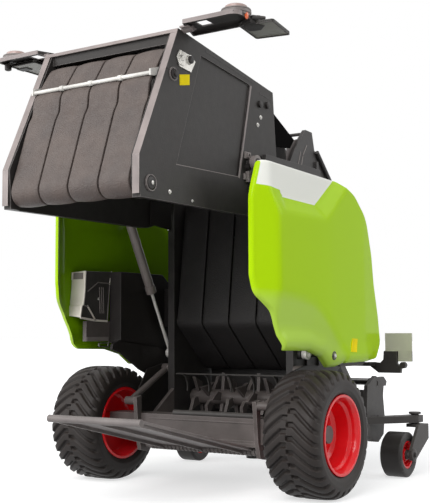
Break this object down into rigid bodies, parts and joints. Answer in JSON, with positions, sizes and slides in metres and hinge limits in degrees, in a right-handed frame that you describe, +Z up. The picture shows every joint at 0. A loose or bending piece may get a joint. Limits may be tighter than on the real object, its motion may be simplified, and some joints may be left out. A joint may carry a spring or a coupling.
{
  "type": "scale model of a round baler",
  "caption": "Small display model of a towed round baler with its tailgate raised, belts, feed rotor, tined pickup, gauge wheels and hinged side hoods.",
  "frame": {"origin": "on the floor under the middle of the model's box", "axes": "+X to the right, +Y forward to the hitch, +Z up"},
  "size_m": [0.0894, 0.169, 0.1234],
  "materials": {
    "tyre_rubber": "moulded soft black",
    "red_plastic": "gloss red",
    "green_plastic": "gloss lime green",
    "belt_plastic": "grained brown grey",
    "white_plastic": "milky white",
    "dark_metal": "satin black",
    "bright_metal": "polished",
    "lamp_plastic": "dark glossy",
    "silver_plastic": "silver grey",
    "grey_metal": "satin warm grey paint",
    "grey_plastic": "satin warm grey",
    "black_plastic": "matte black"
  },
  "bodies": {
    "chassis": {"axle": "grey_metal", "chamber_wall_left": "grey_metal", "chamber_wall_right": "grey_metal", "front_belts": "belt_plastic", "front_cover": "black_plastic", "pivot_guard": "black_plastic", "intake_pan": "black_plastic", "valve_housing": "black_plastic", "valve_cover": "silver_plastic", "ramp_hanger_left": "grey_plastic", "ramp_hanger_right": "grey_plastic", "marker_board_left": "grey_plastic", "marker_board_right": "grey_plastic", "drawbar": "black_plastic", "gearbox": "black_plastic", "binding_box": "green_plastic"},
    "tailgate": {"tailgate_shell": "grey_metal", "tailgate_belts": "belt_plastic", "belt_guide_rod": "white_plastic", "lamp_carrier_left": "grey_plastic", "lamp_carrier_right": "grey_plastic", "rear_lamp_left": "lamp_plastic", "rear_lamp_right": "lamp_plastic"},
    "ramp": {"bale_ramp": "grey_plastic"},
    "rotor": {"feed_rotor": "grey_plastic"},
    "pickup": {"pickup_frame": "black_plastic"},
    "reel": {"pickup_reel": "grey_plastic"},
    "crop_guard": {"crop_guard": "black_plastic"},
    "jack": {"parking_jack": "black_plastic"},
    "barrel_left": {"gate_barrel_left": "dark_metal"},
    "rod_left": {"gate_rod_left": "bright_metal"},
    "hood_left": {"hood_left": "green_plastic"},
    "wheel_left": {"tyre_left": "tyre_rubber", "rim_left": "red_plastic"},
    "fork_left": {"gauge_fork_left": "black_plastic"},
    "gauge_wheel_left": {"gauge_tyre_left": "tyre_rubber", "gauge_rim_left": "red_plastic"},
    "barrel_right": {"gate_barrel_right": "dark_metal"},
    "rod_right": {"gate_rod_right": "bright_metal"},
    "hood_right": {"hood_right": "green_plastic"},
    "wheel_right": {"tyre_right": "tyre_rubber", "rim_right": "red_plastic"},
    "fork_right": {"gauge_fork_right": "black_plastic"},
    "gauge_wheel_right": {"gauge_tyre_right": "tyre_rubber", "gauge_rim_right": "red_plastic"}
  },
  "joints": [
    {"name": "tailgate_hinge", "type": "hinge", "parent": "chassis", "child": "tailgate", "pos_m": [0, -0.0275, 0.09], "axis": [1, 0, 0], "range_deg": [0, 90]},
    {"name": "ramp_hinge", "type": "hinge", "parent": "chassis", "child": "ramp", "pos_m": [0, -0.0261, 0.0112], "axis": [1, 0, 0], "range_deg": [0, 16]},
    {"name": "rotor_spin", "type": "hinge", "parent": "chassis", "child": "rotor", "pos_m": [0, -0.0015, 0.024], "axis": [1, 0, 0], "continuous": true},
    {"name": "pickup_lift", "type": "hinge", "parent": "chassis", "child": "pickup", "pos_m": [0, 0.0125, 0.027], "axis": [1, 0, 0], "range_deg": [0, 10]},
    {"name": "reel_spin", "type": "hinge", "parent": "pickup", "child": "reel", "pos_m": [0, 0.0259, 0.017], "axis": [1, 0, 0], "continuous": true},
    {"name": "crop_guard_hinge", "type": "hinge", "parent": "pickup", "child": "crop_guard", "pos_m": [0, 0.026, 0.028], "axis": [1, 0, 0], "range_deg": [0, 20]},
    {"name": "jack_slide", "type": "slide", "parent": "chassis", "child": "jack", "axis": [0, 0, 1], "range_m": [0, 0.01]},
    {"name": "barrel_left_hinge", "type": "hinge", "parent": "tailgate", "child": "barrel_left", "pos_m": [-0.0243, -0.036, 0.09], "axis": [1, 0, 0], "range_deg": [-96, 2]},
    {"name": "rod_left_slide", "type": "slide", "parent": "barrel_left", "child": "rod_left", "axis": [0, -0.4654, 0.8851], "range_m": [0, 0.0116]},
    {"name": "wheel_left_spin", "type": "hinge", "parent": "chassis", "child": "wheel_left", "pos_m": [-0.0365, -0.0255, 0.017], "axis": [1, 0, 0], "continuous": true},
    {"name": "hood_left_hinge", "type": "hinge", "parent": "chassis", "child": "hood_left", "pos_m": [-0.028, -0.0105, 0.086], "axis": [0, 1, 0], "range_deg": [0, 70]},
    {"name": "fork_left_swivel", "type": "hinge", "parent": "pickup", "child": "fork_left", "pos_m": [-0.0394, 0.0347, 0.017], "axis": [0, 0, -1], "range_deg": [-8, 45]},
    {"name": "gauge_wheel_left_spin", "type": "hinge", "parent": "fork_left", "child": "gauge_wheel_left", "pos_m": [-0.0382, 0.0243, 0.0068], "axis": [1, 0, 0], "continuous": true},
    {"name": "barrel_right_hinge", "type": "hinge", "parent": "tailgate", "child": "barrel_right", "pos_m": [0.0243, -0.036, 0.09], "axis": [1, 0, 0], "range_deg": [-96, 2]},
    {"name": "rod_right_slide", "type": "slide", "parent": "barrel_right", "child": "rod_right", "axis": [0, -0.4654, 0.8851], "range_m": [0, 0.0116]},
    {"name": "wheel_right_spin", "type": "hinge", "parent": "chassis", "child": "wheel_right", "pos_m": [0.0365, -0.0255, 0.017], "axis": [1, 0, 0], "continuous": true},
    {"name": "hood_right_hinge", "type": "hinge", "parent": "chassis", "child": "hood_right", "pos_m": [0.028, -0.0105, 0.086], "axis": [0, -1, 0], "range_deg": [0, 70]},
    {"name": "fork_right_swivel", "type": "hinge", "parent": "pickup", "child": "fork_right", "pos_m": [0.0394, 0.0347, 0.017], "axis": [0, 0, 1], "range_deg": [-8, 45]},
    {"name": "gauge_wheel_right_spin", "type": "hinge", "parent": "fork_right", "child": "gauge_wheel_right", "pos_m": [0.0382, 0.0243, 0.0068], "axis": [1, 0, 0], "continuous": true}
  ],
  "couplings": [
    {"joint": "barrel_left_hinge", "follows": "tailgate_hinge", "ratio": -1.0476},
    {"joint": "rod_left_slide", "follows": "tailgate_hinge", "m_per_rad": 0.007223},
    {"joint": "barrel_right_hinge", "follows": "tailgate_hinge", "ratio": -1.0476},
    {"joint": "rod_right_slide", "follows": "tailgate_hinge", "m_per_rad": 0.007223}
  ]
}
